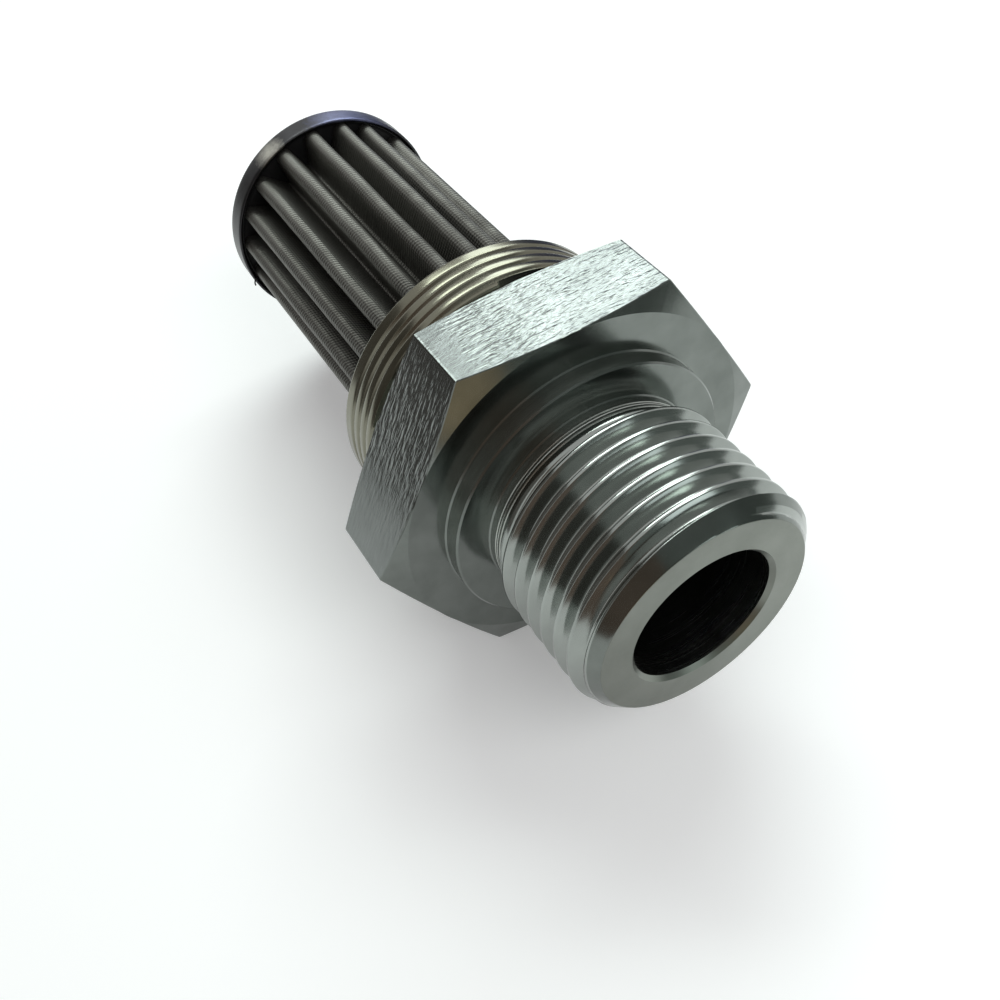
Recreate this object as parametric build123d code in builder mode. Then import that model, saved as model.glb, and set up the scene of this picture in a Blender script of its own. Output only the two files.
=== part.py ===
"""Hydraulic filter: a pleated mesh element bonded into a threaded hexagon fitting.

The filter lies on one flat of its hexagon. Its axis runs along X, 0 at mid length, with the mouth of the
nipple at +X and the closed end cap at -X. Z is 0 on the surface that it lies on. Millimetres.
"""
import os
from math import acos, atan2, cos, degrees, hypot, radians, sin, tan

from build123d import *

# Nipple, M24 x 2 male thread
nipple_length = 16.7
nipple_thread_diameter = 24.0
nipple_relief_depth = 1.1
nipple_relief_width = 2.0
nipple_chamfer = 1.5
bore_diameter = 14.0
bore_countersink = 0.4

# Round step in front of the hexagon
step_diameter = 28.5
step_height = 1.9

# Hexagon, 36 across flats, turned to a low cone on both sides
hex_across_flats = 36.0
hex_width = 8.6
hex_cone_angle = 15.0

# Collar, fine male thread of 31 mm, with the socket that holds the element
collar_length = 9.3
collar_thread_diameter = 31.1
collar_chamfer = 0.5
collar_relief_depth = 1.15
collar_relief_width = 3.9
socket_web = 0.4
socket_clearance = 0.3

# Pleated mesh, folded round the core and closed into a ring
pleat_count = 18
pleat_outer_diameter = 24.0
mesh_thickness = 0.3
crest_fold_radius = 0.75
root_fold_radius = 0.42

# Perforated core tube, a little wider inside than the bore that it stands round
core_bore_margin = 0.3
core_wall = 0.5
core_clearance = 0.3
core_slot_width = 6.0
core_slot_length = 12.0
core_slot_columns = 2
core_slot_rows = 2
core_slot_margin = 4.0

# Pressed end cap
cap_clearance = 0.225
cap_height = 2.75
cap_sheet = 0.4
cap_edge_width = 1.0
cap_edge_height = 0.55

# Length of the element between the collar's open end and the cap's outside face
element_length = 37.7

# Resin beds that the pleats stand in at both ends
cap_bond_depth = 1.6
socket_bond_depth = 2.0

# Stations along the axis, measured back from the mouth
step_back = nipple_length + step_height
hex_back = step_back + hex_width
collar_end = hex_back + collar_length
socket_floor = hex_back + collar_relief_width + socket_web
total_length = collar_end + element_length
cap_floor = total_length - cap_sheet
cap_lip = total_length - cap_height

# Fits: the core stands round the bore, the pleats round the core, and the socket and the cap round the pleats
core_inner_diameter = bore_diameter + 2 * core_bore_margin
core_outer_diameter = core_inner_diameter + 2 * core_wall
pleat_inner_diameter = core_outer_diameter + 2 * core_clearance
socket_diameter = pleat_outer_diameter + 2 * socket_clearance
cap_inner_diameter = pleat_outer_diameter + 2 * cap_clearance
cap_outer_diameter = cap_inner_diameter + 2 * cap_sheet
mesh_start = socket_floor + socket_bond_depth
mesh_end = cap_floor - cap_bond_depth

# Frames: the axis through the hexagon's centre, and the plane that profiles are drawn in
axis_height = hex_across_flats / 2
mouth_centre = Vector(total_length / 2, 0, axis_height)
filter_axis = Axis(mouth_centre, (1, 0, 0))
profile_plane = Plane(origin=mouth_centre, x_dir=(1, 0, 0), z_dir=(0, -1, 0))


def cross_plane(station):
    """Plane square to the axis at a station behind the mouth, facing out of the mouth."""
    origin = mouth_centre - Vector(station, 0, 0)
    return Plane(origin=origin, x_dir=(0, 1, 0), z_dir=(1, 0, 0))


def ring_band(front, back, outer_diameter, inner_diameter):
    """Profile of a plain ring between two stations, to be revolved."""
    with BuildSketch(profile_plane) as band:
        with Locations((-(front + back) / 2, (outer_diameter + inner_diameter) / 4)):
            Rectangle(back - front, (outer_diameter - inner_diameter) / 2)
    return band.sketch


# Fitting body: turned profile, hexagon, bore and socket
nipple_relief_radius = nipple_thread_diameter / 2 - nipple_relief_depth
collar_relief_radius = collar_thread_diameter / 2 - collar_relief_depth

with BuildPart() as fitting_body:
    with BuildSketch(profile_plane):
        with BuildLine():
            Polyline(
                (0, 0),
                (0, nipple_thread_diameter / 2 - nipple_chamfer),
                (-nipple_chamfer, nipple_thread_diameter / 2),
                (-(nipple_length - nipple_relief_width - nipple_relief_depth), nipple_thread_diameter / 2),
                (-(nipple_length - nipple_relief_width), nipple_relief_radius),
                (-nipple_length, nipple_relief_radius),
                (-nipple_length, step_diameter / 2),
                (-(step_back + hex_width / 2), step_diameter / 2),
                (-(step_back + hex_width / 2), collar_relief_radius),
                (-(hex_back + collar_relief_width - collar_relief_depth), collar_relief_radius),
                (-(hex_back + collar_relief_width), collar_thread_diameter / 2),
                (-(collar_end - collar_chamfer), collar_thread_diameter / 2),
                (-collar_end, collar_thread_diameter / 2 - collar_chamfer),
                (-collar_end, 0),
                close=True,
            )
        make_face()
    revolve(axis=filter_axis)

    # Hexagon bar, cut to a low cone on each side from the circle that touches its flats
    hex_corner_radius = hex_across_flats / 2 / cos(radians(30))
    cone_depth = (hex_corner_radius - hex_across_flats / 2) * tan(radians(hex_cone_angle))
    with BuildSketch(cross_plane(hex_back)):
        RegularPolygon(hex_across_flats / 2, 6, major_radius=False)
    hex_bar = extrude(amount=hex_width, mode=Mode.PRIVATE)
    with BuildSketch(profile_plane):
        with BuildLine():
            Polyline(
                (-step_back, 0),
                (-step_back, hex_across_flats / 2),
                (-(step_back + cone_depth), hex_corner_radius),
                (-(hex_back - cone_depth), hex_corner_radius),
                (-hex_back, hex_across_flats / 2),
                (-hex_back, 0),
                close=True,
            )
        make_face()
    hex_cones = revolve(axis=filter_axis, mode=Mode.PRIVATE)
    add(hex_bar & hex_cones)

    # Through bore with a broken edge at the mouth, and the socket behind the hexagon
    with BuildSketch(profile_plane):
        with BuildLine():
            Polyline(
                (0, 0),
                (0, bore_diameter / 2 + bore_countersink),
                (-bore_countersink, bore_diameter / 2),
                (-socket_floor, bore_diameter / 2),
                (-socket_floor, socket_diameter / 2),
                (-collar_end, socket_diameter / 2),
                (-collar_end, 0),
                close=True,
            )
        make_face()
    revolve(axis=filter_axis, mode=Mode.SUBTRACT)
fitting_body.part.label = "fitting_body"


# Pleated mesh: one folded wall, drawn as a crest arc, a flank, a root arc and a flank per pleat
pleat_angle = 360 / pleat_count
crest_centre = pleat_outer_diameter / 2 - mesh_thickness / 2 - crest_fold_radius
root_centre = pleat_inner_diameter / 2 + mesh_thickness / 2 + root_fold_radius


def flank_angle():
    """Direction, in degrees, from each fold's centre to where the flank leaves it, on the first pleat."""
    half = radians(pleat_angle / 2)
    across = root_centre * sin(half)
    along = root_centre * cos(half) - crest_centre
    spread = acos((crest_fold_radius + root_fold_radius) / hypot(across, along))
    return degrees(atan2(across, along) - spread)


def at(angle, radius, centre=0.0, turn=0.0):
    """Point at an angle and radius round a fold's centre, which lies at a distance along a turned ray."""
    x = centre * cos(radians(turn)) + radius * cos(radians(angle + turn))
    y = centre * sin(radians(turn)) + radius * sin(radians(angle + turn))
    return (x, y)


def pleat_wire(shift):
    """Closed fold line of the mesh, moved outwards by shift from the middle of the wall."""
    lean = flank_angle()
    crest = crest_fold_radius + shift
    root = root_fold_radius - shift
    root_lean = lean - pleat_angle / 2 + 180
    for pleat in range(pleat_count):
        turn = pleat * pleat_angle
        valley = turn + pleat_angle / 2
        flank_start = at(lean, crest, crest_centre, turn)
        flank_end = at(root_lean, root, root_centre, valley)
        next_flank_start = at(-root_lean, root, root_centre, valley)
        next_crest_start = at(-lean, crest, crest_centre, turn + pleat_angle)
        ThreePointArc(at(-lean, crest, crest_centre, turn), at(0, crest, crest_centre, turn), flank_start)
        Line(flank_start, flank_end)
        ThreePointArc(flank_end, at(180, root, root_centre, valley), next_flank_start)
        Line(next_flank_start, next_crest_start)


with BuildPart() as pleated_mesh:
    with BuildSketch(cross_plane(mesh_end)):
        with BuildLine():
            pleat_wire(mesh_thickness / 2)
        make_face()
        with BuildLine():
            pleat_wire(-mesh_thickness / 2)
        make_face(mode=Mode.SUBTRACT)
    extrude(amount=mesh_end - mesh_start)
pleated_mesh.part.label = "pleated_mesh"


# Perforated core tube, with staggered rows of round-ended slots between its plain ends
with BuildPart() as core_tube:
    add(ring_band(socket_floor, mesh_end, core_outer_diameter, core_inner_diameter))
    revolve(axis=filter_axis)
    first_row = collar_end + core_slot_margin + core_slot_length / 2
    last_row = cap_lip - core_slot_margin - core_slot_length / 2
    row_pitch = (last_row - first_row) / (core_slot_rows - 1)
    for row in range(core_slot_rows):
        stagger = 180 / core_slot_columns * (row % 2)
        for column in range(core_slot_columns):
            across = Vector(0, 0, 1).rotate(Axis.X, column * 360 / core_slot_columns + stagger)
            slot_centre = mouth_centre - Vector(first_row + row * row_pitch, 0, 0)
            with BuildSketch(Plane(origin=slot_centre, x_dir=(1, 0, 0), z_dir=across)):
                SlotOverall(core_slot_length, core_slot_width)
            extrude(amount=core_outer_diameter, mode=Mode.SUBTRACT)
core_tube.part.label = "core_tube"


# End cap: pressed cup, open towards the fitting
with BuildPart() as end_cap:
    with BuildSketch(cross_plane(total_length)):
        Circle(cap_outer_diameter / 2)
    extrude(amount=cap_height)
    rear_edge = end_cap.edges().sort_by(Axis.X)[0]
    rear_face = end_cap.faces().sort_by(Axis.X)[0]
    chamfer(rear_edge, cap_edge_width, cap_edge_height, reference=rear_face)
    lip_face = end_cap.faces().sort_by(Axis.X)[-1]
    offset(amount=-cap_sheet, openings=lip_face)
end_cap.part.label = "end_cap"


# Resin bed in the cap, just short of its lip, under the ends of the pleats and the core
cap_edge_angle = atan2(cap_edge_height, cap_edge_width)
bond_edge_width = cap_edge_width - cap_sheet * (1 - tan(cap_edge_angle / 2))
bond_edge_height = cap_edge_height - cap_sheet * (1 - tan(radians(45) - cap_edge_angle / 2))

with BuildPart() as cap_bond:
    with BuildSketch(cross_plane(cap_floor)):
        Circle(cap_inner_diameter / 2)
    extrude(amount=cap_bond_depth)
    floor_edge = cap_bond.edges().sort_by(Axis.X)[0]
    floor_face = cap_bond.faces().sort_by(Axis.X)[0]
    chamfer(floor_edge, bond_edge_width, bond_edge_height, reference=floor_face)
cap_bond.part.label = "cap_bond"


# Resin bed in the socket, round the core and under the other ends of the pleats
with BuildPart() as socket_bond:
    add(ring_band(socket_floor, mesh_start, socket_diameter, core_outer_diameter))
    revolve(axis=filter_axis)
socket_bond.part.label = "socket_bond"


os.makedirs("parts", exist_ok=True)
for piece in (fitting_body, pleated_mesh, core_tube, end_cap, cap_bond, socket_bond):
    export_step(piece.part, f"parts/{piece.part.label}.step")
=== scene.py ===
import math

import bmesh
import bpy
from bpy.props import FloatProperty, FloatVectorProperty, PointerProperty
from mathutils import Matrix, Vector, noise


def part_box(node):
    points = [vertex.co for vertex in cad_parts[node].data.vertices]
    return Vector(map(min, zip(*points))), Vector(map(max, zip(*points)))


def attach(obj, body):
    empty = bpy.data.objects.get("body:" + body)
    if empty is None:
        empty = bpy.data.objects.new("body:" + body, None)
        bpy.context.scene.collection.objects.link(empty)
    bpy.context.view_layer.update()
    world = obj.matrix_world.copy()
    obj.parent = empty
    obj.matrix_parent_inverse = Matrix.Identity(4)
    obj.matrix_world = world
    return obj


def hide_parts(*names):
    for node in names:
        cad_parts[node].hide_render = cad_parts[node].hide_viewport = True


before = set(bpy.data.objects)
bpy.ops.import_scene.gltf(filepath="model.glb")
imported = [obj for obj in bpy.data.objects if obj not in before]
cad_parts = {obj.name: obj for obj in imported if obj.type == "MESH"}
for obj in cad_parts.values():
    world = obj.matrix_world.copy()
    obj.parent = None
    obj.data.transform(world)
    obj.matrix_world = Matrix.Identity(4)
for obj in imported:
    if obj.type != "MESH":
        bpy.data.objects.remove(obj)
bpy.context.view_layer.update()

bl_info = {
    "name": "Hydraulic Filter",
    "version": (1, 0, 0),
    "blender": (4, 5, 0),
    "location": "3D Viewport > Sidebar > Filter",
    "description": "Builds a hydraulic filter: threaded hexagon fitting, pleated mesh, end cap and studio",
    "category": "Object",
}

MM = 0.001
BODY_LOW, BODY_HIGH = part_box("fitting_body")
MOUTH_X = BODY_HIGH.x
AXIS_Z = (BODY_LOW.z + BODY_HIGH.z) / 2


# Colours and shader nodes

def hex_colour(text):
    """Linear RGBA of an sRGB hex colour."""
    channels = [int(text[i:i + 2], 16) / 255 for i in (0, 2, 4)]
    linear = [c / 12.92 if c <= 0.04045 else ((c + 0.055) / 1.055) ** 2.4 for c in channels]
    return (*linear, 1.0)


def add_node(tree, kind, links=None, **settings):
    """Adds one shader node. Settings name its properties or its inputs, and links feed its inputs."""
    node = tree.nodes.new(kind)
    for key, value in settings.items():
        if hasattr(node, key):
            setattr(node, key, value)
        else:
            node.inputs[int(key[1:]) if key[0] == "_" else key.replace("_", " ")].default_value = value
    for key, source in (links or {}).items():
        tree.links.new(source, node.inputs[key])
    return node


def new_material(name):
    """An empty node material, ready for a shader and its output node."""
    material = bpy.data.materials.new(name)
    material.use_nodes = True
    material.node_tree.nodes.clear()
    return material, material.node_tree


def ramp_node(tree, factor, stops):
    """A colour ramp fed by a factor, with (position, colour) stops."""
    node = tree.nodes.new("ShaderNodeValToRGB")
    elements = node.color_ramp.elements
    while len(elements) > 1:
        elements.remove(elements[-1])
    elements[0].position, elements[0].color = stops[0]
    for position, colour in stops[1:]:
        elements.new(position).color = colour
    tree.links.new(factor, node.inputs["Fac"])
    return node


def axis_point(tree):
    """Object coordinates with the origin moved onto the filter's axis."""
    where = add_node(tree, "ShaderNodeTexCoord")
    return add_node(tree, "ShaderNodeMapping", {"Vector": where.outputs["Object"]}, Location=(0, 0, -AXIS_Z))


def zinc_material(name, tints, roughness, ring_mm, ring_depth_mm, radial=False, patch_mm=6.0):
    """Zinc-plated turned steel: thin bright plating over fine lathe rings, so highlights break into lines."""
    material, tree = new_material(name)
    point = axis_point(tree)
    split = add_node(tree, "ShaderNodeSeparateXYZ", {"Vector": point.outputs["Vector"]})
    if radial:
        # Facing cuts leave rings round the axis, so the pattern runs along the radius
        flat = add_node(tree, "ShaderNodeCombineXYZ", {"Y": split.outputs["Y"], "Z": split.outputs["Z"]})
        along = add_node(tree, "ShaderNodeVectorMath", {0: flat.outputs["Vector"]}, operation="LENGTH").outputs["Value"]
    else:
        along = split.outputs["X"]
    side = add_node(tree, "ShaderNodeMath", {0: split.outputs["Y"]}, operation="MULTIPLY", _1=0.02)
    up = add_node(tree, "ShaderNodeMath", {0: split.outputs["Z"]}, operation="MULTIPLY", _1=0.02)
    stretched = add_node(tree, "ShaderNodeCombineXYZ", {"X": along, "Y": side.outputs[0], "Z": up.outputs[0]})
    rings = add_node(tree, "ShaderNodeTexNoise", {"Vector": stretched.outputs["Vector"]},
                     Scale=1 / (ring_mm * MM), Detail=3.0, Roughness=0.7)
    patches = add_node(tree, "ShaderNodeTexNoise", {"Vector": point.outputs["Vector"]},
                       Scale=1 / (patch_mm * MM), Detail=4.0, Roughness=0.6)
    tint = ramp_node(tree, patches.outputs["Fac"], [(0.35, hex_colour(tints[0])), (0.65, hex_colour(tints[1]))])
    dull = add_node(tree, "ShaderNodeMapRange", {"Value": rings.outputs["Fac"]},
                    _3=roughness[0], _4=roughness[1])
    bump = add_node(tree, "ShaderNodeBump", {"Height": rings.outputs["Fac"]},
                    Strength=1.0, Distance=ring_depth_mm * MM)
    shader = add_node(tree, "ShaderNodeBsdfPrincipled",
                      {"Base Color": tint.outputs["Color"], "Roughness": dull.outputs["Result"],
                       "Normal": bump.outputs["Normal"]}, Metallic=1.0)
    add_node(tree, "ShaderNodeOutputMaterial", {"Surface": shader.outputs["BSDF"]})
    return material


def drawn_flat_material(name):
    """Zinc-plated bar with its rough drawn skin: short scores across each flat glitter, rubbed smooth at some corners."""
    material, tree = new_material(name)
    point = axis_point(tree)
    # Scores about 0.2 mm wide and 0.9 mm long, drawn a little coarser than real so that they show
    squeezed = add_node(tree, "ShaderNodeMapping", {"Vector": point.outputs["Vector"]}, Scale=(1.0, 0.22, 0.22))
    scores = add_node(tree, "ShaderNodeTexNoise", {"Vector": squeezed.outputs["Vector"]},
                      Scale=1 / (0.34 * MM), Detail=2.0, Roughness=0.5)
    # How rough each place is, by its turn about the axis: top flat from -30 to 30 degrees, left flat from 30 to 90
    split = add_node(tree, "ShaderNodeSeparateXYZ", {"Vector": point.outputs["Vector"]})
    left = add_node(tree, "ShaderNodeMath", {0: split.outputs["Y"]}, operation="MULTIPLY", _1=-1.0)
    turn = add_node(tree, "ShaderNodeMath", {0: left.outputs[0], 1: split.outputs["Z"]}, operation="ARCTAN2")
    place = add_node(tree, "ShaderNodeMapRange", {"Value": turn.outputs[0]}, _1=-math.pi, _2=math.pi)
    grey = [(0.0, 1.0), (0.545, 1.0), (0.572, 0.18), (0.583, 0.15), (0.59, 0.6), (0.66, 0.75), (0.70, 0.12),
            (0.77, 0.1), (0.80, 1.0), (1.0, 1.0)]
    rough = ramp_node(tree, place.outputs["Result"], [(at, (level, level, level, 1)) for at, level in grey])
    bump = add_node(tree, "ShaderNodeBump", {"Height": scores.outputs["Fac"], "Strength": rough.outputs["Color"]},
                    Distance=0.16 * MM)
    patches = add_node(tree, "ShaderNodeTexNoise", {"Vector": point.outputs["Vector"]},
                       Scale=1 / (7 * MM), Detail=3.0)
    tint = ramp_node(tree, patches.outputs["Fac"],
                     [(0.35, hex_colour("6E7270")), (0.65, hex_colour("7C807E"))])
    shader = add_node(tree, "ShaderNodeBsdfPrincipled",
                      {"Base Color": tint.outputs["Color"], "Normal": bump.outputs["Normal"]},
                      Metallic=1.0, Roughness=0.2)
    add_node(tree, "ShaderNodeOutputMaterial", {"Surface": shader.outputs["BSDF"]})
    return material


def woven_mesh_material(name):
    """Stainless wire cloth: round cross wires that catch the light one by one over a soft grey fold. The gaps between
    the wires carry painted shade.
    """
    material, tree = new_material(name)
    uv = add_node(tree, "ShaderNodeUVMap", uv_map="fold_mm")
    split = add_node(tree, "ShaderNodeSeparateXYZ", {"Vector": uv.outputs["UV"]})
    # Cross wires every 0.42 mm along the pleat and finer wires along it, drawn coarser than real so that they show
    cross = add_node(tree, "ShaderNodeMath", {0: split.outputs["Y"]}, operation="MULTIPLY", _1=2 * math.pi / 0.42)
    along = add_node(tree, "ShaderNodeMath", {0: split.outputs["X"]}, operation="MULTIPLY", _1=2 * math.pi / 0.3)
    slant = add_node(tree, "ShaderNodeMath", {0: split.outputs["X"], 2: cross.outputs[0]}, operation="MULTIPLY_ADD",
                     _1=2.2)
    cross_wave = add_node(tree, "ShaderNodeMath", {0: slant.outputs[0]}, operation="SINE")
    along_wave = add_node(tree, "ShaderNodeMath", {0: along.outputs[0]}, operation="SINE")
    weave = add_node(tree, "ShaderNodeMath", {0: along_wave.outputs[0], 2: cross_wave.outputs[0]},
                     operation="MULTIPLY_ADD", _1=0.2)
    where = add_node(tree, "ShaderNodeTexCoord")
    patches = add_node(tree, "ShaderNodeTexNoise", {"Vector": where.outputs["Object"]}, Scale=1 / (3 * MM), Detail=3.0)
    # The cloth lies flatter towards the cap, where its wires hardly show, so the bump and the painted shade between the
    # wires fade there
    fade = add_node(tree, "ShaderNodeMapRange", {"Value": split.outputs["Y"]}, _1=42.0, _2=70.0, _3=1.0, _4=0.12)
    # Random patches make the bump and the painted shade between the wires deeper or shallower
    worn = add_node(tree, "ShaderNodeMapRange", {"Value": patches.outputs["Fac"]}, _1=0.3, _2=0.7, _3=0.5, _4=1.2)
    strength = add_node(tree, "ShaderNodeMath", {0: fade.outputs["Result"], 1: worn.outputs["Result"]},
                        operation="MULTIPLY")
    # Painted shade: the colour darkens in the gaps between the wires, where shade falls
    gap = add_node(tree, "ShaderNodeMapRange", {"Value": weave.outputs[0]}, _1=-1.2, _2=0.2, _3=1.0, _4=0.0)
    dark = add_node(tree, "ShaderNodeMath", {0: gap.outputs["Result"], 1: strength.outputs[0]}, operation="MULTIPLY")
    tint = ramp_node(tree, dark.outputs[0], [(0.0, hex_colour("6C6B66")), (1.0, hex_colour("2E2E2B"))])
    bump = add_node(tree, "ShaderNodeBump", {"Height": weave.outputs[0], "Strength": strength.outputs[0]},
                    Distance=0.06 * MM)
    shader = add_node(tree, "ShaderNodeBsdfPrincipled",
                      {"Base Color": tint.outputs["Color"], "Normal": bump.outputs["Normal"]},
                      Metallic=0.9, Roughness=0.48)
    add_node(tree, "ShaderNodeOutputMaterial", {"Surface": shader.outputs["BSDF"]})
    return material


def pressed_sheet_material(name, marks=()):
    """Pressed steel sheet, dark and dull from the die. Marks are places with a reach and a colour painted over the
    sheet, used for painted highlights and painted reflections.
    """
    material, tree = new_material(name)
    point = axis_point(tree)
    patches = add_node(tree, "ShaderNodeTexNoise", {"Vector": point.outputs["Vector"]},
                       Scale=1 / (4 * MM), Detail=5.0, Roughness=0.65)
    grain = add_node(tree, "ShaderNodeTexNoise", {"Vector": point.outputs["Vector"]},
                     Scale=1 / (0.5 * MM), Detail=4.0, Roughness=0.7)
    tint = ramp_node(tree, patches.outputs["Fac"],
                     [(0.3, hex_colour("363637")), (0.7, hex_colour("454547"))])
    colour = tint.outputs["Color"]
    # Each mark is painted light: a patch of its own colour over the sheet, fading out at its reach
    for place, reach, painted_light_colour in marks:
        away = add_node(tree, "ShaderNodeVectorMath", {0: point.outputs["Vector"]}, operation="DISTANCE", _1=place)
        # The grain breaks up the mark's edge
        ragged = add_node(tree, "ShaderNodeMath", {0: grain.outputs["Fac"], 2: away.outputs["Value"]},
                          operation="MULTIPLY_ADD", _1=reach * 0.8)
        near = add_node(tree, "ShaderNodeMapRange", {"Value": ragged.outputs[0]},
                        _1=reach * 0.5, _2=reach * 1.4, _3=1.0, _4=0.0)
        mark = add_node(tree, "ShaderNodeMix", {0: near.outputs["Result"], 6: colour}, data_type="RGBA",
                        _7=hex_colour(painted_light_colour))
        colour = mark.outputs[2]
    dull = add_node(tree, "ShaderNodeMapRange", {"Value": patches.outputs["Fac"]}, _3=0.25, _4=0.42)
    bump = add_node(tree, "ShaderNodeBump", {"Height": grain.outputs["Fac"]}, Strength=0.6, Distance=0.02 * MM)
    shader = add_node(tree, "ShaderNodeBsdfPrincipled",
                      {"Base Color": colour, "Roughness": dull.outputs["Result"],
                       "Normal": bump.outputs["Normal"]}, Metallic=1.0)
    add_node(tree, "ShaderNodeOutputMaterial", {"Surface": shader.outputs["BSDF"]})
    return material


def resin_material(name):
    """Cast black epoxy, cured in the cup: dark and slightly glossy, a little uneven."""
    material, tree = new_material(name)
    point = axis_point(tree)
    swell = add_node(tree, "ShaderNodeTexNoise", {"Vector": point.outputs["Vector"]}, Scale=1 / (2 * MM), Detail=2.0)
    tint = ramp_node(tree, swell.outputs["Fac"],
                     [(0.3, hex_colour("101011")), (0.7, hex_colour("1B1B1C"))])
    bump = add_node(tree, "ShaderNodeBump", {"Height": swell.outputs["Fac"]}, Strength=0.4, Distance=0.1 * MM)
    shader = add_node(tree, "ShaderNodeBsdfPrincipled",
                      {"Base Color": tint.outputs["Color"], "Normal": bump.outputs["Normal"]},
                      Roughness=0.45, IOR=1.55)
    add_node(tree, "ShaderNodeOutputMaterial", {"Surface": shader.outputs["BSDF"]})
    return material


# Shapes shared by the turned pieces

def spin_rings(stations, columns, place):
    """Spins a closed chain of stations about the axis, then sets each point by place(station, turn)."""
    mesh = bmesh.new()
    ring = mesh.verts.layers.int.new("ring")
    closing = mesh.verts.layers.int.new("closing")
    chain = []
    for index, station in enumerate(stations):
        back, radius = place(station, 0.0)
        vert = mesh.verts.new((MOUTH_X - back * MM, 0.0, AXIS_Z + radius * MM))
        vert[ring] = index
        chain.append(vert)
    edges = [mesh.edges.new(pair) for pair in zip(chain, chain[1:] + chain[:1])]
    spun = bmesh.ops.spin(mesh, geom=chain + edges, cent=(0, 0, AXIS_Z), axis=(1, 0, 0), dvec=(0, 0, 0),
                          angle=2 * math.pi, steps=columns, use_merge=False, use_normal_flip=False,
                          use_duplicate=False)
    for item in spun["geom_last"]:
        if isinstance(item, bmesh.types.BMVert):
            item[closing] = 1
    for vert in mesh.verts:
        turn = math.atan2(-vert.co.y, vert.co.z - AXIS_Z) % (2 * math.pi)
        if vert[closing]:
            turn = 2 * math.pi
        back, radius = place(stations[vert[ring]], turn)
        angle = stations[vert[ring]][-1](turn) if callable(stations[vert[ring]][-1]) else turn
        vert.co = (MOUTH_X - back * MM, -radius * MM * math.sin(angle), AXIS_Z + radius * MM * math.cos(angle))
    return mesh, ring


def paint_bands(mesh, ring, bands):
    """Gives each face the material of the band of rings that it lies in."""
    count = len(bands)
    for face in mesh.faces:
        rings = sorted({vert[ring] for vert in face.verts})
        low = rings[0] if rings[-1] - rings[0] <= 1 else rings[-1]
        face.material_index = bands[low % count]


def sharpen(mesh, degrees, soft_bands):
    """Keeps edges over an angle crisp, except in bands whose turns are rounded anyway."""
    mesh.normal_update()
    for edge in mesh.edges:
        if len(edge.link_faces) == 2 and not {face.material_index for face in edge.link_faces} & set(soft_bands):
            if edge.calc_face_angle() > math.radians(degrees):
                edge.smooth = False


def finish_piece(mesh, name, node, materials, body="root", weighted=True):
    """Turns a bmesh into a smooth piece that rides on its body and stands for its CAD node."""
    bmesh.ops.remove_doubles(mesh, verts=mesh.verts, dist=2e-6)
    bmesh.ops.recalc_face_normals(mesh, faces=mesh.faces)
    for face in mesh.faces:
        face.smooth = True
    data = bpy.data.meshes.new(name)
    mesh.to_mesh(data)
    mesh.free()
    piece = bpy.data.objects.new(name, data)
    bpy.context.scene.collection.objects.link(piece)
    for material in materials:
        data.materials.append(material)
    if weighted:
        modifier = piece.modifiers.new("weighted_normals", "WEIGHTED_NORMAL")
        modifier.keep_sharp = True
    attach(piece, body)
    if node:
        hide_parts(node)
    return piece


# Sizes and finishes that a user would change

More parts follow.
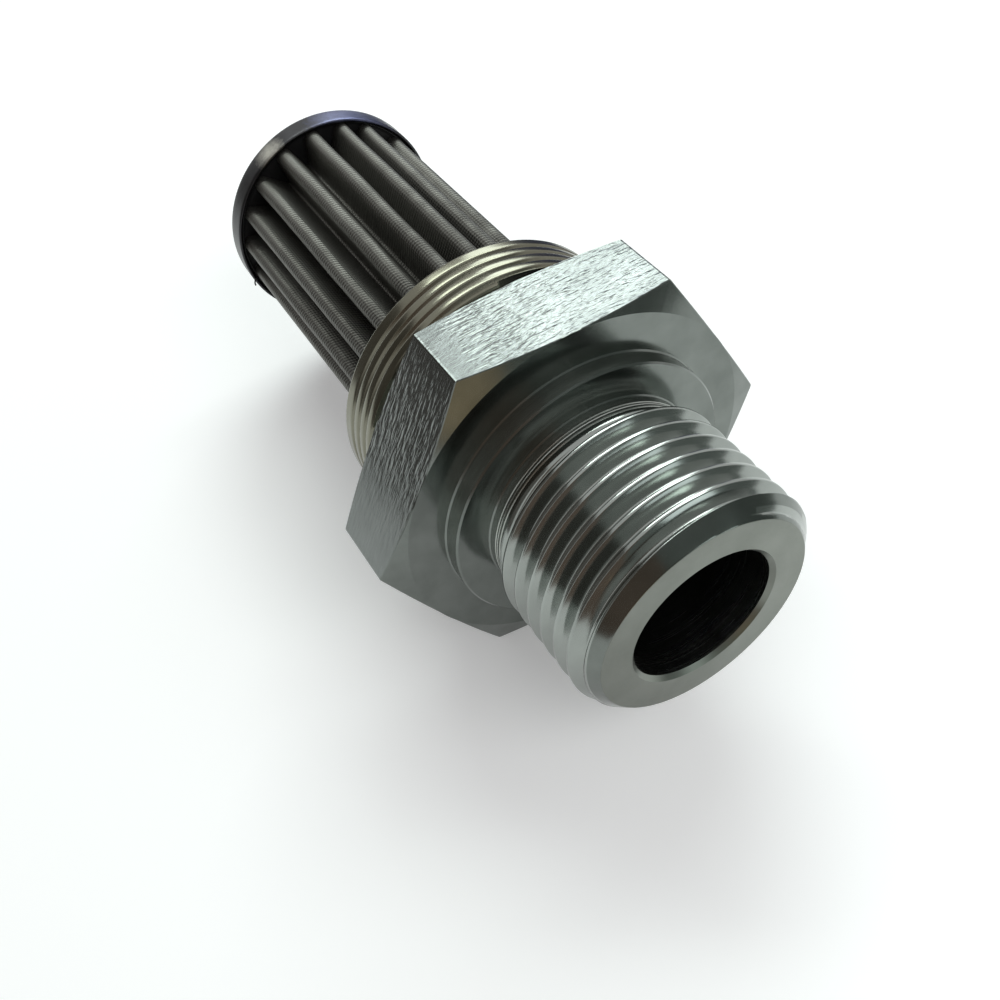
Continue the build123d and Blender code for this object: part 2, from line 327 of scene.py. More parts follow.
class FilterFittingSizes(bpy.types.PropertyGroup):
    mouth_radius: FloatProperty(name="Mouth radius", description="Outer radius of the flat ring round the mouth",
                                default=10.5 * MM, unit="LENGTH", precision=5)
    bore_radius: FloatProperty(name="Bore radius", description="Radius of the through bore",
                               default=7.0 * MM, unit="LENGTH", precision=5)
    countersink: FloatProperty(name="Bore countersink", description="Width of the broken edge at the mouth",
                               default=0.4 * MM, unit="LENGTH", precision=5)
    nipple_radius: FloatProperty(name="Nipple radius", description="Radius over the nipple's thread crests",
                                 default=12.0 * MM, unit="LENGTH", precision=5)
    nipple_pitch: FloatProperty(name="Nipple pitch", description="Distance from crest to crest of the nipple's thread",
                                default=2.0 * MM, unit="LENGTH", precision=5)
    nipple_phase: FloatProperty(name="Nipple thread start", description="Where a groove passes the top of the nipple",
                                default=0.11 * MM, unit="LENGTH", precision=5)
    relief_radius: FloatProperty(name="Nipple relief radius", description="Radius of the relief behind the thread",
                                 default=10.9 * MM, unit="LENGTH", precision=5)
    step_radius: FloatProperty(name="Step radius", description="Radius of the round step in front of the hexagon",
                               default=14.25 * MM, unit="LENGTH", precision=5)
    step_front: FloatProperty(name="Step front", description="Distance from the mouth to the front of the step",
                              default=16.7 * MM, unit="LENGTH", precision=5)
    hex_front: FloatProperty(name="Hexagon front", description="Distance from the mouth to the hexagon's front face",
                             default=18.6 * MM, unit="LENGTH", precision=5)
    hex_back: FloatProperty(name="Hexagon back", description="Distance from the mouth to the hexagon's rear face",
                            default=27.2 * MM, unit="LENGTH", precision=5)
    hex_flats: FloatProperty(name="Across flats", description="Width of the hexagon across its flats",
                             default=36.0 * MM, unit="LENGTH", precision=5)
    hex_cone: FloatProperty(name="Hexagon cone", description="Angle of the cone turned on each end of the hexagon",
                            default=math.radians(15), subtype="ANGLE")
    collar_radius: FloatProperty(name="Collar radius", description="Radius over the collar's thread crests",
                                 default=15.55 * MM, unit="LENGTH", precision=5)
    collar_pitch: FloatProperty(name="Collar pitch", description="Distance from crest to crest of the collar's thread",
                                default=1.25 * MM, unit="LENGTH", precision=5)
    collar_phase: FloatProperty(name="Collar thread start", description="Where a groove passes the top of the collar",
                                default=0.05 * MM, unit="LENGTH", precision=5)
    collar_relief_radius: FloatProperty(name="Collar relief radius", description="Radius of the relief by the hexagon",
                                        default=14.4 * MM, unit="LENGTH", precision=5)
    collar_thread_front: FloatProperty(name="Collar thread front", description="Distance from the mouth to the thread",
                                       default=31.1 * MM, unit="LENGTH", precision=5)
    collar_end: FloatProperty(name="Collar end", description="Distance from the mouth to the collar's open end",
                              default=36.5 * MM, unit="LENGTH", precision=5)
    socket_radius: FloatProperty(name="Socket radius", description="Radius of the socket that holds the element",
                                 default=12.3 * MM, unit="LENGTH", precision=5)
    socket_floor: FloatProperty(name="Socket floor", description="Distance from the mouth to the socket's floor",
                                default=31.5 * MM, unit="LENGTH", precision=5)


class FilterElementSizes(bpy.types.PropertyGroup):
    crest_radius: FloatProperty(name="Crest radius", description="Radius of the ring that the crests touch",
                                default=12.0 * MM, unit="LENGTH", precision=5)
    root_radius: FloatProperty(name="Root radius", description="Radius of the ring that the roots touch",
                               default=8.1 * MM, unit="LENGTH", precision=5)
    crest_fold: FloatProperty(name="Crest fold", description="Radius of each crest's fold, at the middle of the wall",
                              default=0.75 * MM, unit="LENGTH", precision=5)
    root_fold: FloatProperty(name="Root fold", description="Radius of each root's fold, at the middle of the wall",
                             default=0.42 * MM, unit="LENGTH", precision=5)
    wall: FloatProperty(name="Wall", description="Thickness of the folded mesh",
                        default=0.3 * MM, unit="LENGTH", precision=5)
    start: FloatProperty(name="Mesh start", description="Distance from the mouth to the mesh's hidden end",
                         default=33.5 * MM, unit="LENGTH", precision=5)
    end: FloatProperty(name="Mesh end", description="Distance from the mouth to the mesh's end in the cap",
                       default=72.2 * MM, unit="LENGTH", precision=5)
    cap_radius: FloatProperty(name="Cap radius", description="Outer radius of the end cap",
                              default=12.62 * MM, unit="LENGTH", precision=5)
    cap_lip: FloatProperty(name="Cap lip", description="Distance from the mouth to the cap's lip",
                           default=71.45 * MM, unit="LENGTH", precision=5)
    cap_back: FloatProperty(name="Cap back", description="Distance from the mouth to the cap's closed end",
                            default=74.2 * MM, unit="LENGTH", precision=5)
    cap_sheet: FloatProperty(name="Cap sheet", description="Thickness of the cap's sheet steel",
                             default=0.4 * MM, unit="LENGTH", precision=5)


class FilterStudio(bpy.types.PropertyGroup):
    key_level: FloatProperty(name="Key level", description="Brightness of the large soft lamp behind the filter",
                             default=4.6, min=0)
    top_level: FloatProperty(name="Top level", description="Brightness of the long soft lamp overhead",
                             default=7.0, min=0)
    front_level: FloatProperty(name="Front level", description="Brightness of the soft lamp above the camera",
                               default=3.0, min=0)
    strip_level: FloatProperty(name="Strip level", description="Brightness of the low strip lamp at the front",
                               default=1.6, min=0)
    card_level: FloatProperty(name="Card level", description="Brightness of the dark cards",
                              default=0.12, min=0)
    fill_level: FloatProperty(name="Fill level", description="Light from the room on dull surfaces",
                              default=0.37, min=0)
    floor_glow: FloatProperty(name="Floor glow", description="Brings the floor to white for the camera and the metal",
                              default=0.25, min=0)
    floor_colour: FloatVectorProperty(name="Floor colour", description="Colour of the pale floor", subtype="COLOR",
                                      size=4, min=0, max=1, default=hex_colour("F4F4F4"))


# Fitting

class FILTER_OT_fitting(bpy.types.Operator):
    """Turns the fitting: nipple with its thread, step, hexagon, threaded collar, bore and socket"""

    bl_idname = "filter_piece.fitting"
    bl_label = "Fitting"

    def execute(self, context):
        sizes = context.scene.filter_fitting
        mm = {key: getattr(sizes, key) / MM for key in sizes.bl_rna.properties.keys()
              if isinstance(getattr(sizes, key), float)}
        half_flats = mm["hex_flats"] / 2
        cone = math.tan(sizes.hex_cone)
        edge = 0.07

        def across(turn):
            """Distance from the axis to the hexagon's side, its corners a little worn."""
            offset = (math.degrees(turn) + 30) % 60 - 30
            return min(half_flats / math.cos(math.radians(offset)), half_flats / math.cos(math.radians(30)) - 0.045)

        def corner_turn(turn):
            """Draws the columns beside each corner up to it, so that the corner is a narrow rounding."""
            degrees = math.degrees(turn)
            offset = (degrees + 30) % 60 - 30
            if 28 < abs(offset) < 29.9:
                degrees += math.copysign(29.6 - abs(offset), offset)
            return math.radians(degrees)

        # Thread profiles: (distance from the middle of the groove, depth under the crest), rounded where tools round
        nipple_profile = [(0.0, 1.19), (0.10, 1.19), (0.17, 1.14), (0.49, 0.59), (0.79, 0.07), (0.84, 0.012), (0.88, 0.0),
                          (1.0, 0.0)]
        collar_profile = [(0.0, 0.32), (0.04, 0.30), (0.20, 0.07), (0.27, 0.025), (0.42, 0.005), (0.625, 0.0)]

        def groove(distance, pitch, profile):
            """Depth of a thread at a distance from the middle of its groove."""
            distance = abs((distance + pitch / 2) % pitch - pitch / 2)
            for (near, high), (far, low) in zip(profile, profile[1:]):
                if distance <= far + 1e-6:
                    return high + (low - high) * (distance - near) / (far - near)
            return profile[-1][1]

        def lattice(start, stop, pitch, phase, profile):
            """Rings of a thread, one at each corner of its profile, from start to one pitch past stop."""
            offsets = {sign * distance for distance, _ in profile for sign in (1, -1)}
            offsets = sorted(offset for offset in offsets if offset > -pitch / 2)
            first = math.floor((start - phase) / pitch) - 1
            turns = range(first, first + int((stop - start) / pitch) + 5)
            marks = sorted(phase + turn * pitch + offset for turn in turns for offset in offsets)
            # Both ends go a little further, so that the last ring meets the stop all the way round
            return [mark for mark in marks if start - 0.4 <= mark <= stop + pitch + 0.4]

        nipple_stop = mm["step_front"] - 2.0
        collar_stop = mm["collar_end"] - 0.3

        def nipple(turn, mark):
            along = mark - mm["nipple_pitch"] * turn / (2 * math.pi)
            here = min(max(along, 0.02), nipple_stop)
            depth = groove(mark - mm["nipple_phase"], mm["nipple_pitch"], nipple_profile)
            radius = min(mm["nipple_radius"] - depth, mm["mouth_radius"] + here - 0.02)
            radius = min(radius, mm["nipple_radius"] - (here - nipple_stop + 1.1))
            fade = min(1.0, max(0.0, (here - nipple_stop + 0.35) / 0.3))
            return here, radius + (mm["relief_radius"] - radius) * fade

        def collar(turn, mark):
            along = mark - mm["collar_pitch"] * turn / (2 * math.pi)
            start = mm["collar_thread_front"]
            here = min(max(along, start), collar_stop)
            depth = groove(mark - mm["collar_phase"], mm["collar_pitch"], collar_profile)
            depth *= min(1.0, max(0.0, (collar_stop - 0.4 - here) / 0.25), (here - start) / 0.12)
            lead = max(0.0, start + 0.12 - here)
            return here, mm["collar_radius"] - max(depth, lead)

        def place(station, turn):
            kind = station[0]
            if kind == "plain":
                return station[1], station[2]
            if kind == "nipple":
                return nipple(turn, station[1])
            if kind == "collar":
                return collar(turn, station[1])
            side = across(corner_turn(turn))
            radius = {"circle": half_flats, "cone": max(half_flats, side - edge), "flat": side}[station[2]]
            depth = (max(half_flats, side - edge if station[2] == "cone" else side) - half_flats) * cone
            if station[2] == "circle":
                depth = 0.0
            if station[2] == "flat":
                depth += edge
            return (mm["hex_front"] + depth if station[1] == "front" else mm["hex_back"] - depth), radius

        stations, bands = [], []

        def plain(back, radius, band):
            stations.append(("plain", back, radius))
            bands.append(band)

        faced, turned, thread, flats, collar_steel, bore, face = range(7)
        plain(0.0, mm["bore_radius"] + mm["countersink"], faced)
        plain(0.0, mm["mouth_radius"] - 0.05, faced)
        plain(0.02, mm["mouth_radius"], thread)
        for mark in lattice(0.0, nipple_stop, mm["nipple_pitch"], mm["nipple_phase"], nipple_profile):
            stations.append(("nipple", mark))
            bands.append(thread)
        # Run-out of the thread: shallow tool marks round the relief
        for start, depth in ((14.95, 0.06), (15.30, 0.03), (15.62, 0.05)):
            plain(start, mm["relief_radius"] - 0.01, turned)
            plain(start + 0.10, mm["relief_radius"] - depth, turned)
            plain(start + 0.17, mm["relief_radius"], turned)
        plain(mm["step_front"] - 0.12, mm["relief_radius"], face)
        plain(mm["step_front"], mm["relief_radius"] + 0.12, face)
        plain(mm["step_front"], mm["step_radius"] - 0.16, face)
        plain(mm["step_front"] + 0.16, mm["step_radius"], turned)
        plain(mm["hex_front"] - 0.14, mm["step_radius"], face)
        plain(mm["hex_front"], mm["step_radius"] + 0.14, face)
        for side, shape, band in (("front", "circle", face), ("front", "cone", face), ("front", "flat", flats),
                                  ("back", "flat", face), ("back", "cone", face), ("back", "circle", face)):
            stations.append(("hex", side, shape, corner_turn))
            bands.append(band)
        plain(mm["hex_back"], mm["collar_relief_radius"] + 0.3, turned)
        plain(mm["hex_back"] + 0.3, mm["collar_relief_radius"], collar_steel)
        plain(mm["collar_thread_front"] - 0.25, mm["collar_relief_radius"], collar_steel)
        plain(mm["collar_thread_front"] - 0.06, mm["collar_relief_radius"] + 0.2, collar_steel)
        for mark in lattice(mm["collar_thread_front"], collar_stop, mm["collar_pitch"], mm["collar_phase"],
                            collar_profile):
            stations.append(("collar", mark))
            bands.append(collar_steel)
        plain(mm["collar_end"] - 0.22, mm["collar_radius"] - 0.02, collar_steel)
        plain(mm["collar_end"] - 0.03, mm["collar_radius"] - 0.18, collar_steel)
        plain(mm["collar_end"], mm["collar_radius"] - 0.28, collar_steel)
        plain(mm["collar_end"], mm["socket_radius"] + 0.2, collar_steel)
        plain(mm["collar_end"] - 0.2, mm["socket_radius"], bore)
        plain(mm["socket_floor"], mm["socket_radius"], bore)
        plain(mm["socket_floor"], mm["bore_radius"], bore)
        plain(mm["countersink"], mm["bore_radius"], faced)

        mesh, ring = spin_rings(stations, 240, place)
        paint_bands(mesh, ring, bands)
        for item in mesh.faces:
            # The chamfer at the mouth is faced, not threaded
            middle = item.calc_center_median()
            along = (MOUTH_X - middle.x) / MM
            radius = math.hypot(middle.y, middle.z - AXIS_Z) / MM
            if item.material_index == thread and abs(radius - mm["mouth_radius"] - along + 0.02) < 0.02:
                item.material_index = face
        sharpen(mesh, 12, (thread, collar_steel))
        materials = [
            zinc_material("zinc_plated_steel_faced", ("72766F", "7E827B"), (0.26, 0.36), 0.4, 0.002, radial=True),
            zinc_material("zinc_plated_steel_turned", ("9A9E99", "ACB0AB"), (0.18, 0.3), 0.34, 0.03),
            zinc_material("zinc_plated_steel_thread", ("909591", "9CA19D"), (0.14, 0.2), 0.5, 0.0006),
            drawn_flat_material("zinc_plated_drawn_bar"),
            zinc_material("zinc_plated_steel_yellowed", ("6E6C5F", "7C7B6E"), (0.16, 0.24), 0.4, 0.0015),
            zinc_material("oiled_steel_bore", ("70736F", "8A8D8A"), (0.16, 0.36), 0.8, 0.08),
            zinc_material("zinc_plated_steel_smooth_face", ("6C716D", "7C817D"), (0.15, 0.2), 0.4, 0.0008, radial=True),
        ]
        finish_piece(mesh, "turned_fitting", "fitting_body", materials)
        return {"FINISHED"}


# Pleated mesh

class FILTER_OT_pleats(bpy.types.Operator):
    """Folds the wire cloth into rounded pleats, closes it into a ring and gives it its thickness"""

    bl_idname = "filter_piece.pleats"
    bl_label = "Pleated mesh"

    def execute(self, context):
        sizes = context.scene.filter_element
        # Turn of each crest from the top, towards the camera's side: hand-folded, so slightly uneven
        seen = [82.95, 63.55, 44.15, 23.25, 3.55, -15.35, -31.35, -54.35]
        gap = (360 - seen[0] + seen[-1]) / 11
        turns = seen + [seen[-1] - gap * (k + 1) for k in range(10)]
        crest_middle = sizes.crest_radius - sizes.wall / 2 - sizes.crest_fold
        root_middle = sizes.root_radius + sizes.wall / 2 + sizes.root_fold

        def polar(radius, degrees):
            angle = math.radians(degrees)
            return Vector((-radius * math.sin(angle), radius * math.cos(angle)))

        def arc(middle, radius, start, stop, count):
            return [middle + radius * Vector((math.cos(start + (stop - start) * k / count),
                                              math.sin(start + (stop - start) * k / count)))
                    for k in range(count + 1)]

        centres = []
        for index, turn in enumerate(turns):
            following = turns[(index + 1) % len(turns)] - (360 if index == len(turns) - 1 else 0)
            height = 0.10 * MM * noise.noise(Vector((index * 1.7, 0.3, 0.0)))
            centres.append((polar(crest_middle + min(height, 0.0), turn), sizes.crest_fold, 1))
            centres.append((polar(root_middle, (turn + following) / 2), sizes.root_fold, -1))
        # Each flank is the inner tangent from one fold's circle to the next
        line = []
        count = len(centres)
        joints = []
        for index in range(count):
            (here, radius, bend), (there, other, _) = centres[index], centres[(index + 1) % count]
            reach = there - here
            heading = math.atan2(reach.y, reach.x)
            lean = math.acos((radius + other) / reach.length)
            side = heading + bend * lean
            joints.append((side, side + math.pi))
        for index in range(count):
            middle, radius, bend = centres[index]
            start = joints[index - 1][1]
            stop = joints[index][0]
            sweep = (stop - start) % (2 * math.pi)
            if bend == 1:
                sweep -= 2 * math.pi
            line.extend(arc(middle, radius, start, start + sweep, 10 if bend == 1 else 7))
        # Points along the flanks let them sag a little
        path = []
        for index, point in enumerate(line):
            following = line[(index + 1) % len(line)]
            path.append(point)
            if (following - point).length > 1.0 * MM:
                path.extend(point.lerp(following, k / 3) for k in (1, 2))

        mesh = bmesh.new()
        uv = mesh.loops.layers.uv.new("fold_mm")
        distance = mesh.verts.layers.float.new("distance")
        row_count = 26
        verts = []
        travelled = 0.0
        for index, point in enumerate(path + path[:1]):
            if index:
                travelled += (point - path[index - 1]).length
            vert = mesh.verts.new((MOUTH_X - sizes.end, point.x, AXIS_Z + point.y))
            vert[distance] = travelled / MM
            verts.append(vert)
        row = [mesh.edges.new(pair) for pair in zip(verts, verts[1:])]
        step = (sizes.end - sizes.start) / row_count
        for _ in range(row_count):
            grown = bmesh.ops.extrude_edge_only(mesh, edges=row)["geom"]
            moved = [item for item in grown if isinstance(item, bmesh.types.BMVert)]
            row = [item for item in grown if isinstance(item, bmesh.types.BMEdge)
                   and item.verts[0] in set(moved) and item.verts[1] in set(moved)]
            bmesh.ops.translate(mesh, verts=moved, vec=(step, 0, 0))
        for face in mesh.faces:
            for loop in face.loops:
                loop[uv].uv = (loop.vert[distance], (MOUTH_X - loop.vert.co.x) / MM)
        for vert in mesh.verts:
            offset = Vector((0, vert.co.y, vert.co.z - AXIS_Z))
            radius = offset.length
            free = min(1.0, (vert.co.x - (MOUTH_X - sizes.end)) / (3 * MM), (MOUTH_X - sizes.start - vert.co.x) / (3 * MM))
            wave = noise.noise(Vector((vert.co.x / (9 * MM), offset.y / (2.2 * MM), offset.z / (2.2 * MM))))
            across = offset.cross(Vector((1, 0, 0))).normalized()
            share = max(0.0, radius - sizes.root_radius) / (sizes.crest_radius - sizes.root_radius)
            vert.co += across * wave * 0.16 * MM * share * max(0.0, free)
        piece = finish_piece(mesh, "folded_wire_cloth", "pleated_mesh",
                             [woven_mesh_material("stainless_wire_cloth_woven")], weighted=False)
        wall = piece.modifiers.new("wall", "SOLIDIFY")
        wall.thickness = sizes.wall
        wall.offset = 0.0
        return {"FINISHED"}


# End cap, resin and core

class FILTER_OT_end_cap(bpy.types.Operator):
    """Presses the end cap and leaves a stray wire end at its lip"""

    bl_idname = "filter_piece.end_cap"
    bl_label = "End cap"

    def execute(self, context):
        sizes = context.scene.filter_element
        outer, sheet = sizes.cap_radius / MM, sizes.cap_sheet / MM
        lip, back = sizes.cap_lip / MM, sizes.cap_back / MM
        stations = []

        def plain(station, radius):
            stations.append(("plain", station, radius))

        plain(back - 0.12, 0.02)
        plain(back - 0.12, 8.0)
        plain(back - 0.04, 10.6)
        plain(back, 11.8)
        for degrees in range(0, 91, 15):
            angle = math.radians(degrees)
            plain(back - 0.4 + 0.4 * math.cos(angle), outer - 0.4 + 0.4 * math.sin(angle))
        plain(back - 1.2, outer)
        plain(lip + 0.5, outer)
        for degrees in range(0, 181, 30):
            angle = math.radians(degrees)
            plain(lip + 0.18 - 0.18 * math.sin(angle), outer - sheet / 2 + sheet / 2 * math.cos(angle))
        for degrees in range(90, -1, -30):
            angle = math.radians(degrees)
            plain(back - sheet - 0.5 + 0.5 * math.cos(angle), outer - sheet - 0.5 + 0.5 * math.sin(angle))
        plain(back - sheet - 0.12, 8.0)
        plain(back - sheet - 0.12, 0.02)

        def place(station, turn):
            radius = station[2]
            if radius > 5:
                # The cup is a little out of round
                radius -= 0.025 * (1 + math.sin(2 * turn + 0.8))
            return station[1], radius

        mesh, _ = spin_rings(stations, 192, place)
        # A brighter patch on the lip is a painted highlight, and a blue tint further round is a painted reflection
        marks = []
        for degrees, reach, painted_light_colour in ((28, 2.2, "B9B8AE"), (-22, 6.0, "6A6E8C")):
            turn = math.radians(degrees)
            spot = (MOUTH_X - (lip + 0.9) * MM, -outer * MM * math.sin(turn), outer * MM * math.cos(turn))
            marks.append((spot, reach * MM, painted_light_colour))
        finish_piece(mesh, "pressed_end_cap", "end_cap",
                     [pressed_sheet_material("pressed_sheet_steel_dull", marks)])

        # One loose wire of the cloth leaves a crest inside the cup, passes the lip and bends down outside it
        turn = math.radians(104.8)
        out = Vector((0, -math.sin(turn), math.cos(turn)))
        root = Vector((MOUTH_X - (lip + 0.15) * MM, 0, AXIS_Z)) + out * (sizes.crest_radius - 0.1 * MM)
        legs = [out * 0.2 + Vector((0.34, 0, 0)), out * 0.5 + Vector((0.06, 0, 0)),
                Vector((0.02, -0.12, -0.3)), Vector((0.1, -0.02, -0.3))]
        heading = legs[0].normalized()
        upright = heading.to_track_quat("Z", "Y").to_matrix().to_4x4()
        wire = bmesh.new()
        bmesh.ops.create_circle(wire, cap_ends=True, segments=8, radius=0.09 * MM,
                                matrix=Matrix.Translation(root) @ upright)
        tip = wire.faces[:]
        for leg, following in zip(legs, legs[1:] + legs[-1:]):
            grown = bmesh.ops.extrude_face_region(wire, geom=tip)["geom"]
            if len(wire.faces) > 10:
                # The first face closes the wire's root, and later ones would lie inside it
                bmesh.ops.delete(wire, geom=tip, context="FACES_ONLY")
            tip = [item for item in grown if isinstance(item, bmesh.types.BMFace)]
            rim = tip[0].verts[:]
            bmesh.ops.translate(wire, verts=rim, vec=leg * MM)
            # Each ring faces half way between its two legs, so that the wire stays round
            halfway = (leg.normalized() + following.normalized()).normalized()
            bmesh.ops.rotate(wire, verts=rim, cent=tip[0].calc_center_median(),
                             matrix=heading.rotation_difference(halfway).to_matrix())
            heading = halfway
        finish_piece(wire, "stray_wire_end", None,
                     [pressed_sheet_material("stainless_wire_bare")], weighted=False)
        return {"FINISHED"}


class FILTER_OT_resin(bpy.types.Operator):
    """Pours the resin that holds the pleats at both ends, and finishes the hidden core"""

    bl_idname = "filter_piece.resin"
    bl_label = "Resin and core"

    def execute(self, context):
        sizes = context.scene.filter_element
        black = resin_material("black_epoxy_cast")
        inner = (sizes.cap_radius - sizes.cap_sheet) / MM - 0.05
        floor = sizes.cap_back / MM - 0.55
        for name, node, low, high, small, large in (
            ("cap_resin", "cap_bond", floor, sizes.end / MM - 0.15, 0.02, inner),
            ("socket_resin", "socket_bond", sizes.start / MM - 1.95, sizes.start / MM + 0.15, 7.85, 12.28),
        ):
            rise = 0.25 if node == "cap_bond" else -0.25
            stations = [("plain", low, small), ("plain", high, small), ("plain", high, large - 0.6),
                        ("plain", high - rise * 0.3, large - 0.25), ("plain", high - rise, large), ("plain", low, large)]
            mesh, _ = spin_rings(stations, 96, lambda station, turn: (station[1], station[2]))
            finish_piece(mesh, name, node, [black])
        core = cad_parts["core_tube"]
        steel = zinc_material("perforated_steel_core", ("55565A", "66676B"), (0.35, 0.5), 0.2, 0.003)
        core.data.materials.clear()
        core.data.materials.append(steel)
        return {"FINISHED"}


# Studio

class FILTER_OT_studio(bpy.types.Operator):
    """Sets the pale floor, the soft lamps, the dark cards and the camera"""

    bl_idname = "filter_piece.studio"
    bl_label = "Studio"

    def lamp(self, context, name, place, width, height, level, colour):
        """A soft lamp of a given brightness at a place in millimetres, turned to the hexagon's centre."""
        data = bpy.data.lights.new(name, "AREA")
        data.shape = "RECTANGLE"
        data.size, data.size_y = width * MM, height * MM
        data.energy = level * math.pi * data.size * data.size_y
        data.color = hex_colour(colour)[:3]
        lamp = bpy.data.objects.new(name, data)
        context.scene.collection.objects.link(lamp)
        lamp.location = Vector(place) * MM
        away = lamp.location - Vector((15 * MM, 0, AXIS_Z))
        lamp.rotation_euler = away.to_track_quat("Z", "Y").to_euler()
        lamp.visible_camera = False
        return lamp

    def card(self, context, name, corners, black):
        """A card outside the picture that glows at a set level instead of being lit, seen only in the metal, which
        mirrors it as a band.
        """
        mesh = bmesh.new()
        mesh.faces.new([mesh.verts.new(Vector(corner) * MM) for corner in corners])
        data = bpy.data.meshes.new(name)
        mesh.to_mesh(data)
        mesh.free()
        card = bpy.data.objects.new(name, data)
        context.scene.collection.objects.link(card)
        data.materials.append(black)
        for kind in ("camera", "diffuse", "transmission", "volume_scatter", "shadow"):
            setattr(card, f"visible_{kind}", False)

    def execute(self, context):
        scene = context.scene
        studio = scene.filter_studio
        scene.view_settings.view_transform = "Standard"

        # Camera at the photograph's place: its position, its right and its up in the filter's frame
        camera_data = bpy.data.cameras.new("camera")
        camera_data.sensor_width = 36
        camera_data.lens = 39.182
        camera_data.clip_start = 0.002
        camera = bpy.data.objects.new("camera", camera_data)
        scene.collection.objects.link(camera)
        right = Vector((0.51373, 0.85265, -0.09524))
        up = Vector((-0.61545, 0.44359, 0.65150))
        back = right.cross(up)
        turn = Matrix((right, up, back)).transposed().to_4x4()
        camera.matrix_world = Matrix.Translation(Vector((76.1976, -35.0679, 93.7884)) * MM) @ turn
        scene.camera = camera

        # Pale floor that looks white and keeps the shadow
        mesh = bmesh.new()
        bmesh.ops.create_grid(mesh, x_segments=1, y_segments=1, size=1.5)
        data = bpy.data.meshes.new("floor")
        mesh.to_mesh(data)
        mesh.free()
        floor = bpy.data.objects.new("floor", data)
        floor.location.z = -0.00002
        scene.collection.objects.link(floor)
        material, tree = new_material("pale_studio_floor")
        matte = add_node(tree, "ShaderNodeBsdfDiffuse", Color=tuple(studio.floor_colour))
        rays = add_node(tree, "ShaderNodeLightPath")
        seen = add_node(tree, "ShaderNodeMath", {0: rays.outputs["Is Camera Ray"], 1: rays.outputs["Is Glossy Ray"]},
                        operation="MAXIMUM")
        seen = add_node(tree, "ShaderNodeMath", {0: seen.outputs[0], 1: rays.outputs["Is Transmission Ray"]},
                        operation="MAXIMUM")
        level = add_node(tree, "ShaderNodeMath", {0: seen.outputs[0]}, operation="MULTIPLY",
                         _1=studio.floor_glow)
        glow = add_node(tree, "ShaderNodeEmission", {"Strength": level.outputs[0]})
        both = add_node(tree, "ShaderNodeAddShader", {0: matte.outputs["BSDF"], 1: glow.outputs["Emission"]})
        add_node(tree, "ShaderNodeOutputMaterial", {"Surface": both.outputs["Shader"]})
        data.materials.append(material)

        # Room: pale grey to the camera and in the metal. On dull surfaces it is darker, so that with the lamps
        # an upward face gets a level of about 0.9
        world = bpy.data.worlds.new("studio_room")
        world.use_nodes = True
        tree = world.node_tree
        tree.nodes.clear()
        rays = add_node(tree, "ShaderNodeLightPath")
        seen = add_node(tree, "ShaderNodeMath", {0: rays.outputs["Is Camera Ray"], 1: rays.outputs["Is Glossy Ray"]},
                        operation="MAXIMUM")
        seen = add_node(tree, "ShaderNodeMath", {0: seen.outputs[0], 1: rays.outputs["Is Transmission Ray"]},
                        operation="MAXIMUM")
        level = add_node(tree, "ShaderNodeMapRange", {"Value": seen.outputs[0]}, _3=studio.fill_level, _4=1.0)
        sky = add_node(tree, "ShaderNodeBackground", {"Strength": level.outputs["Result"]})
        add_node(tree, "ShaderNodeOutputWorld", {"Surface": sky.outputs["Background"]})
        scene.world = world

        self.lamp(context, "key_softbox", (-314, 254, 312), 225, 165, studio.key_level, "F4FFFF")
        self.lamp(context, "top_softbox", (-232, 143, 432), 500, 110, studio.top_level, "F4FFFA")
        self.lamp(context, "front_softbox", (264, 62, 324), 260, 141, studio.front_level, "FFFFFF")
        self.lamp(context, "front_strip", (78, 19, 35), 34, 17, studio.strip_level, "F4FFFF")
        # Dark cards give the metal its dark bands, and one small warm card its brown glow
        cards = {
            "card_front": (((80, -12, 0), (80, 140, 0), (80, 140, 160), (80, -12, 160)), "F2FFF8", 1.5),
            "card_warm": (((79.5, -18, 4), (79.5, 5, 4), (79.5, 5, 22), (79.5, -18, 22)), "FFE6BE", 5.0),
            "card_front_left": (((80, -90, 0), (80, -12, 0), (80, -12, 160), (80, -90, 160)), "FFE2CE", 1.5),
            "card_left": (((-170, -75, 9), (40, -75, 9), (40, -75, 130), (-170, -75, 130)), "FFF8F0", 1.3),
            "card_back": (((-125, 60, 0), (-60, 125, 0), (-60, 125, 75), (-125, 60, 75)), "C8D0FF", 1.3),
        }
        # The cards are not lit: each glows at a set level, painted light that stands in for a dim card in the room
        for name, (corners, colour, share) in cards.items():
            black, tree = new_material("glowing_" + name)
            glow = add_node(tree, "ShaderNodeEmission", Color=hex_colour(colour), Strength=studio.card_level * share)
            add_node(tree, "ShaderNodeOutputMaterial", {"Surface": glow.outputs["Emission"]})
            self.card(context, name, corners, black)
        return {"FINISHED"}


class FILTER_PT_panel(bpy.types.Panel):
    bl_label = "Hydraulic Filter"
    bl_idname = "FILTER_PT_panel"
    bl_space_type = "VIEW_3D"
    bl_region_type = "UI"
    bl_category = "Filter"

    def draw(self, context):
        for operator in OPERATORS:
            self.layout.operator(operator.bl_idname)
        for group in ("filter_fitting", "filter_element", "filter_studio"):
            box = self.layout.box()
            settings = getattr(context.scene, group)
            for key in settings.bl_rna.properties.keys():
                if key not in ("rna_type", "name"):
                    box.prop(settings, key)


GROUPS = {
    "filter_fitting": FilterFittingSizes,
    "filter_element": FilterElementSizes,
    "filter_studio": FilterStudio,
}
OPERATORS = (
    FILTER_OT_studio,
    FILTER_OT_fitting,
    FILTER_OT_pleats,
    FILTER_OT_end_cap,
    FILTER_OT_resin,
)


def register():
    for item in (*GROUPS.values(), *OPERATORS, FILTER_PT_panel):
        bpy.utils.register_class(item)
    for name, group in GROUPS.items():
        setattr(bpy.types.Scene, name, PointerProperty(type=group))


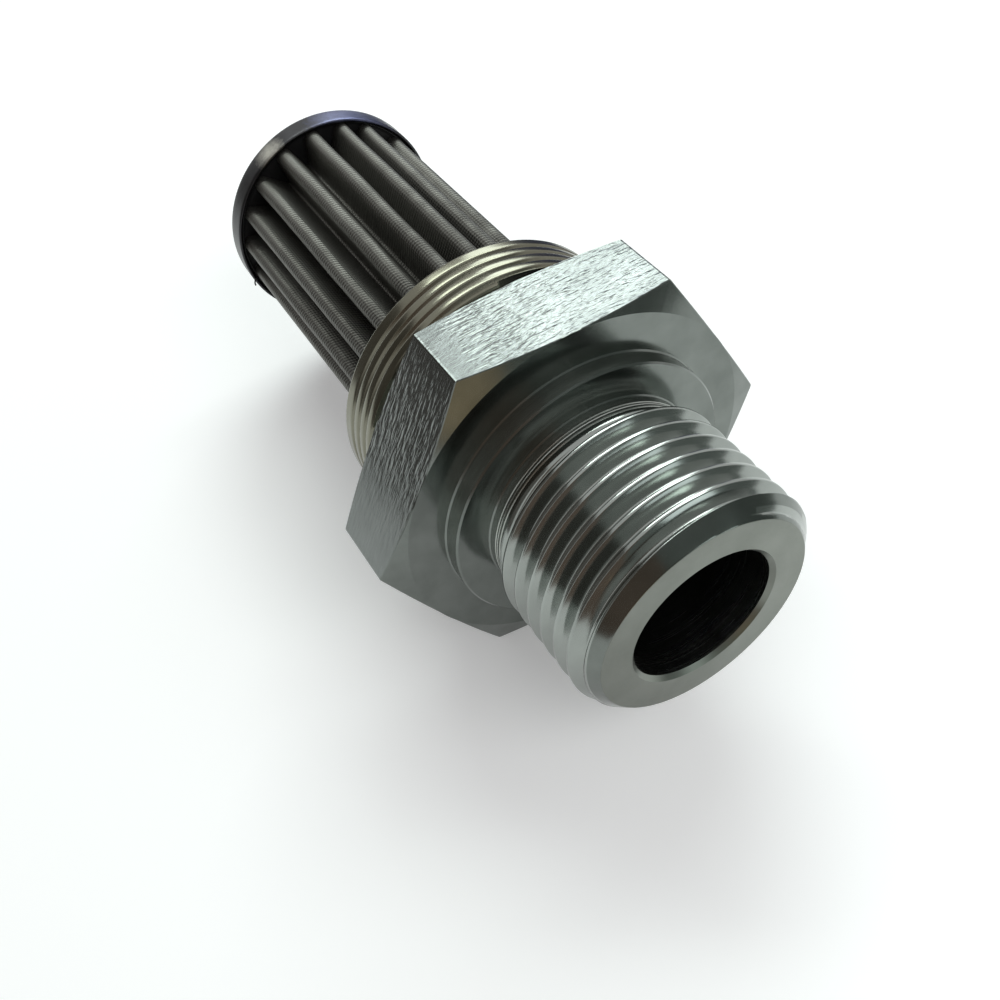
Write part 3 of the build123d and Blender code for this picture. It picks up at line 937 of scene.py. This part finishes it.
def unregister():
    for name in GROUPS:
        delattr(bpy.types.Scene, name)
    for item in reversed((*GROUPS.values(), *OPERATORS, FILTER_PT_panel)):
        bpy.utils.unregister_class(item)


def main():
    register()
    for operator in OPERATORS:
        group, name = operator.bl_idname.split(".")
        getattr(getattr(bpy.ops, group), name)()


if __name__ == "__main__":
    main()
